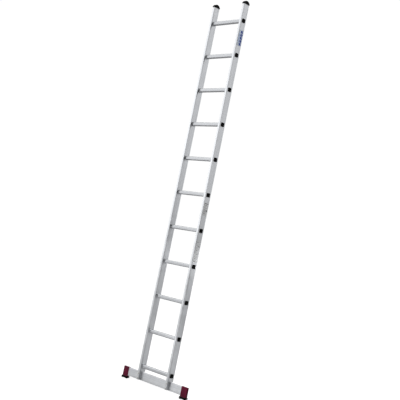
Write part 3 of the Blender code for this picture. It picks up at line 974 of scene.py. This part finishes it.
def hexagon(across, steps=36, limit=1.0, mark=0.0):
    # limit under 1 rounds the corners off, as the chamfer on a head does
    points = []
    for k in range(steps):
        turn = 2 * math.pi * k / steps
        fromFlat = (turn % (math.pi / 3)) - math.pi / 6
        radius = min(across / 2 / math.cos(fromFlat), limit * across / math.sqrt(3))
        points.append((radius * math.cos(turn), radius * math.sin(turn), mark))
    return points


def threadRings(low, high, centre):
    # crests and roots by turns from low to high
    s = boltShape
    rings = []
    count = int((high - low) / s["pitch"])
    for k in range(count):
        start = low + k * s["pitch"]
        for share, sink in ((0.05, 1), (0.40, 0), (0.55, 0), (0.90, 1)):
            # the thread roots get a negative mark, for painted shade
            outline = circle(s["radius"] - sink * s["threadDepth"], s["round"], -0.8 * sink)
            rings.append((shifted(outline, *centre), start + share * s["pitch"]))
    return rings


def buildBolt(bm, up, tip):
    s = boltShape
    centre = (up, stileMid)
    face = stileLow.y - touch
    top, collar = face - s["headThick"], face - s["flangeThick"]

    def head(limit):
        return shifted(hexagon(s["across"], limit=limit), *centre)

    def disc(radius):
        return shifted(circle(radius, s["round"]), *centre)

    stations = [(head(limit), top + down, mark) for limit, down, mark in s["headLines"]]
    stations += [(head(1.0), collar - 0.0004), (disc(s["flange"] - 0.0012), collar)]
    stations += [(disc(s["flange"] - inset), face - above, mark)
                 for inset, above, mark in s["flangeLines"]]
    stations += [(disc(s["radius"]), face), (disc(s["radius"]), tip - s["threaded"])]
    stations += threadRings(tip - s["threaded"], tip - s["pitch"], centre)
    stations += [(disc(s["radius"] - inset), tip - back) for inset, back in s["tipLines"]]
    loft(bm, stations, alongY)


def buildNut(bm, up, near, far):
    s = boltShape
    centre = (up, stileMid)

    def nut(limit):
        return shifted(hexagon(s["nutAcross"], limit=limit), *centre)

    def disc(radius):
        return shifted(circle(radius, s["round"]), *centre)

    collar = near + s["flangeThick"]
    outer = [(disc(s["flange"] - 0.0002), near), (disc(s["flange"]), near + 0.0004, 0.6),
             (disc(s["flange"] - 0.0003), collar, 0.6), (nut(1.0), collar + 0.0005),
             (nut(1.0), far - 0.0009), (nut(0.92), far - 0.0002, 1.0), (nut(0.84), far)]
    hole, mouth = disc(s["hole"]), disc(s["hole"] + s["holeFlare"])
    hollowLoft(bm, outer, [(mouth, near), (hole, near + s["flareLong"]),
                           (hole, far - s["flareLong"]), (mouth, far)], alongY)


for side, sign in sides.items():
    for level, up in zip(("lower", "upper"), boltShape["heights"]):
        boltNode, nutNode = f"bar_bolt_{side}_{level}", f"bar_nut_{side}_{level}"
        tip = ladderBox(boltNode)[1].y
        nutLow, nutHigh = ladderBox(nutNode)
        addPiece(f"barBolt{side.title()}{level.title()}",
                 freshMesh(lambda bm: buildBolt(bm, up, tip)), zincSteel, boltNode,
                 mirrored=sign < 0)
        addPiece(f"barNut{side.title()}{level.title()}",
                 freshMesh(lambda bm: buildNut(bm, up, nutLow.y, nutHigh.y)), zincSteel,
                 nutNode, mirrored=sign < 0)
print("bolts and nuts built")


inks = {
    "blue": (0.005, 0.056, 0.36), "pale": (0.46, 0.60, 0.92), "white": (0.95, 0.97, 0.99),
    "grey": (0.04, 0.04, 0.045), "mid": (0.12, 0.123, 0.126),
}
nameLabelShape = {
    "blocks": 5, "pitch": 0.0245, "block": (0.0090, 0.0120, 0.0098), "slant": 0.35,
    "blockSlant": 0.4, "strokeAcross": 0.0125, "strokeStep": 0.007, "stroke": (0.0011, 0.0055),
    "lines": (-0.0190, -0.0155, -0.0120, -0.0085), "lineUp": 0.002, "lineHalf": 0.0009,
    "lineLong": 0.055,
}
useLabelShape = {
    "heading": (0.0, 0.042, 0.020, 0.0022), "frameAcross": 0.0175, "frameUps": (0.030, 0.006),
    "frameHalf": (0.018, 0.012), "frameLine": 0.0006,
    "stroke": (-0.004, 0.018, 0.0012, 0.010, 0.28), "dot": (0.0145, -0.012, 0.0042, 0.0055),
    "rows": 5, "rowPitch": 0.0075, "row": (-0.005, -0.006, 0.013, 0.0011), "rowShort": 0.002,
}
careLabelShape = {
    "rows": 5, "top": 0.062, "pitch": 0.031, "across": 0.0115, "frame": (0.0090, 0.0105),
    "frameLine": 0.0008, "stroke": (0.0010, 0.0080), "slants": (0.25, -0.35),
    "block": (0.0095, 0.006, 0.0045, 0.0016),
    "lines": ((0.010, 0.0365, 0.011, 0.0016), (-0.010, -0.078, 0.011, 0.0016)),
}


def nameLabelPrint():
    # a column of blue blocks with slanted white strokes, beside thin pale lines
    s = nameLabelShape
    bars = []
    for k in range(s["blocks"]):
        up = (k - (s["blocks"] - 1) / 2) * s["pitch"]
        slant = s["slant"] if k % 2 else -s["slant"]
        across, halfAcross, halfUp = s["block"]
        bars.append((inks["blue"], across, up, halfAcross, halfUp, slant * s["blockSlant"]))
        across = s["strokeAcross"] - s["strokeStep"] * (k % 2)
        bars.append((inks["white"], across, up, *s["stroke"], slant))
    for across in s["lines"]:
        half = s["lineLong"] + across
        bars.append((inks["pale"], across, s["lineUp"], s["lineHalf"], half, 0.0))
    return bars


def useLabelPrint():
    # a dark heading, a frame with a leaning stroke in it, rows of lines and a block beside them
    s = useLabelShape
    low, high = sorted(s["frameUps"])
    wide, tall = s["frameHalf"]
    bars = [(inks["grey"], *s["heading"], 0.0)]
    bars += [(inks["mid"], 0.0, up, wide, s["frameLine"], 0.0) for up in (high, low)]
    bars += [(inks["mid"], across, (low + high) / 2, s["frameLine"], tall, 0.0)
             for across in (-s["frameAcross"], s["frameAcross"])]
    bars += [(inks["mid"], *s["stroke"]), (inks["grey"], *s["dot"], 0.0)]
    across, up, halfAcross, halfUp = s["row"]
    for k in range(s["rows"]):
        bars.append((inks["mid"], across, up - k * s["rowPitch"],
                     halfAcross - s["rowShort"] * (k % 2), halfUp, 0.0))
    return bars


def careLabelPrint():
    # rows of small frames, each with a leaning stroke, and darker blocks to either side
    s = careLabelShape
    wide, tall = s["frame"]
    bars = []
    for row in range(s["rows"]):
        up = s["top"] - row * s["pitch"]
        for across, slant in zip((-s["across"], s["across"]), s["slants"]):
            bars.append((inks["mid"], across, up, wide, tall, 0.0))
            bars.append((inks["white"], across, up, wide - s["frameLine"],
                         tall - s["frameLine"], 0.0))
            bars.append((inks["mid"], across, up, *s["stroke"], slant))
        across, above, halfAcross, halfUp = s["block"]
        bars.append((inks["grey"], across if row % 2 else -across, up + above, halfAcross,
                     halfUp, 0.0))
    bars += [(inks["grey"], *line, 0.0) for line in s["lines"]]
    return bars


labelFinish = {
    "name_label": ("nameFilm", (0.80, 0.89, 0.99), nameLabelPrint),
    "use_label": ("useFilm", (0.82, 0.83, 0.84), useLabelPrint),
    "care_label": ("careFilm", (0.75, 0.76, 0.77), careLabelPrint),
}
filmShape = {"corner": 0.003, "cornerSteps": 8, "soft": 0.3}  # soft is a share of the thickness


def buildFilm(bm, box):
    s = filmShape
    low, high = box
    size, middle = high - low, (low + high) / 2
    soft = size.x * s["soft"]

    def sheet(inset):
        outline = profile(size.y - 2 * inset, size.z - 2 * inset, s["corner"] - inset,
                          s["cornerSteps"])
        return shifted([(u, v, 0.0) for u, v, mark in outline], middle.y, middle.z)

    loft(bm, [(sheet(0), low.x), (sheet(0), high.x - soft),
              (sheet(soft * 0.4), high.x - soft * 0.3), (sheet(soft), high.x)], alongX)


for node, (filmName, ground, printing) in labelFinish.items():
    box = ladderBox(node)
    film = makeFilm(filmName, ground, printing(), box)
    addPiece(node.replace("_label", "Label"), freshMesh(lambda bm: buildFilm(bm, box)), film,
             node)
print("labels built")

# the blocks that the bolts squeeze against are right as packed and only take the plastic's finish
for node in ("tongue_spacer_left", "tongue_spacer_right", "bar_insert_left", "bar_insert_right"):
    block = frame["nodes"][node]
    block.data.materials.clear()
    block.data.materials.append(blackPlastic)


stageLook = {
    "floorSize": 14.0, "floorTone": (0.50, 0.50, 0.50, 1.0), "floorGlow": 0.63,
    "floorRoughness": 0.9, "skyWhite": 1.02,
    # the light from each height, as the sine of the elevation and the strength there
    "skySteps": ((-1.0, 0.50), (-0.20, 0.56), (0.02, 0.66), (0.08, 0.78), (0.17, 1.22),
                 (0.27, 1.62), (0.42, 1.75), (0.65, 1.55), (1.0, 1.50)),
    # parts of the room with a tone of their own: which way, how near to it the tone starts and
    # is full, and the tone; the last is a pale wall and the others are dark corners
    "corners": (((0.60, -0.75, 0.30), 0.10, 0.70, 0.18), ((-0.55, 0.83, 0.10), 0.62, 0.92, 0.30),
                ((0.80, 0.30, 0.52), 0.60, 0.90, 0.35), ((0.75, 0.64, 0.10), 0.80, 0.96, 0.92)),
}


def makeFloor():
    bm = bmesh.new()
    bmesh.ops.create_grid(bm, x_segments=1, y_segments=1, size=stageLook["floorSize"] / 2)
    floor = looseObject("floor", bm)
    paint = bpy.data.materials.new("paleFloor")
    paint.use_nodes = True
    tree = paint.node_tree
    shader = tree.nodes["Principled BSDF"]
    shader.inputs["Base Color"].default_value = stageLook["floorTone"]
    shader.inputs["Roughness"].default_value = stageLook["floorRoughness"]
    shader.inputs["Specular IOR Level"].default_value = 0.0
    shader.inputs["Emission Color"].default_value = (1.0, 1.0, 1.0, 1.0)
    seen = newNode(tree, "ShaderNodeLightPath").outputs["Is Camera Ray"]
    plug(tree, times(tree, seen, stageLook["floorGlow"]), shader.inputs["Emission Strength"])
    floor.data.materials.append(paint)


def makeSky():
    # plain white to the camera; its light on the ladder is dim from below, bright from above
    sky = bpy.data.worlds.new("studio")
    scene.world = sky
    sky.use_nodes = True
    tree = sky.node_tree
    background = tree.nodes["Background"]
    direction = newNode(tree, "ShaderNodeTexCoord").outputs["Generated"]
    split = newNode(tree, "ShaderNodeSeparateXYZ")
    plug(tree, direction, split.inputs[0])
    height = plus(tree, times(tree, split.outputs["Z"], 0.5), 0.5)
    steps = newNode(tree, "ShaderNodeValToRGB")
    plug(tree, height, steps.inputs["Fac"])
    brightest = max(strength for sine, strength in stageLook["skySteps"])
    stops = steps.color_ramp.elements
    while len(stops) < len(stageLook["skySteps"]):
        stops.new(0.5)
    for stop, (sine, strength) in zip(stops, stageLook["skySteps"]):
        stop.position = (sine + 1) / 2
        stop.color = [strength / brightest] * 3 + [1.0]
    light = steps.outputs["Color"]
    for heading, start, full, tone in stageLook["corners"]:
        towards = newNode(tree, "ShaderNodeVectorMath", operation="DOT_PRODUCT")
        plug(tree, direction, towards.inputs[0])
        plug(tree, heading, towards.inputs[1])
        dim = ramp(tree, towards.outputs["Value"], start, full)
        light = mixColour(tree, dim, light, [tone / brightest] * 3 + [1.0])
    seen = newNode(tree, "ShaderNodeLightPath").outputs["Is Camera Ray"]
    white = [stageLook["skyWhite"] / brightest] * 3 + [1.0]
    plug(tree, mixColour(tree, seen, light, white), background.inputs["Color"])
    background.inputs["Strength"].default_value = brightest


def addSoftbox(name, spot, aim, size, power):
    lamp = bpy.data.lights.new(name, "AREA")
    lamp.shape = "RECTANGLE"
    lamp.size, lamp.size_y = size
    lamp.energy = power
    box = bpy.data.objects.new(name, lamp)
    box.visible_camera = False
    scene.collection.objects.link(box)
    box.location = spot
    box.rotation_euler = (Vector(aim) - Vector(spot)).to_track_quat("-Z", "Y").to_euler()


softboxes = {
    "frontLeftBox": {"spot": (-5.0, -4.6, 4.2), "aim": (0.0, 0.3, 1.9), "size": (5.0, 3.6),
                     "power": 12.0},
    "frontBox": {"spot": (-1.8, -7.0, 2.6), "aim": (0.0, 0.0, 0.6), "size": (4.0, 3.0),
                 "power": 90.0},
    "footBox": {"spot": (0.80, 0.62, 1.00), "aim": (0.70, 0.54, 0.0), "size": (0.5, 0.5),
                "power": 7.0},
    "lowFrontBox": {"spot": (0.0, -1.7, 0.40), "aim": (0.0, 0.0, 0.08), "size": (1.2, 0.4),
                    "power": 1.6},
    "tongueBox": {"spot": (0.12, -0.24, 0.45), "aim": (0.12, -0.20, 0.0), "size": (0.7, 0.2),
                  "power": 0.6},
    "overheadBox": {"spot": (0.5, -0.5, 6.5), "aim": (0.0, 0.4, 1.5), "size": (4.0, 4.0),
                    "power": 30.0},
}
cameraPlace = {
    "spot": (4.5653, -3.8963, 2.1251), "turn": 46.063, "down": 6.403, "lens": 72.454,
    "sensor": 36.0, "reach": 200.0,
}

makeFloor()
makeSky()
for name, values in softboxes.items():
    addSoftbox(name, **values)

lens = bpy.data.cameras.new("camera")
lens.lens = cameraPlace["lens"]
lens.sensor_width = cameraPlace["sensor"]
lens.clip_end = cameraPlace["reach"]
camera = bpy.data.objects.new("camera", lens)
scene.collection.objects.link(camera)
camera.location = cameraPlace["spot"]
camera.rotation_euler = (math.radians(90 - cameraPlace["down"]), 0,
                         math.radians(cameraPlace["turn"]))
scene.camera = camera
scene.view_settings.view_transform = "Standard"
print("floor, light and camera set")
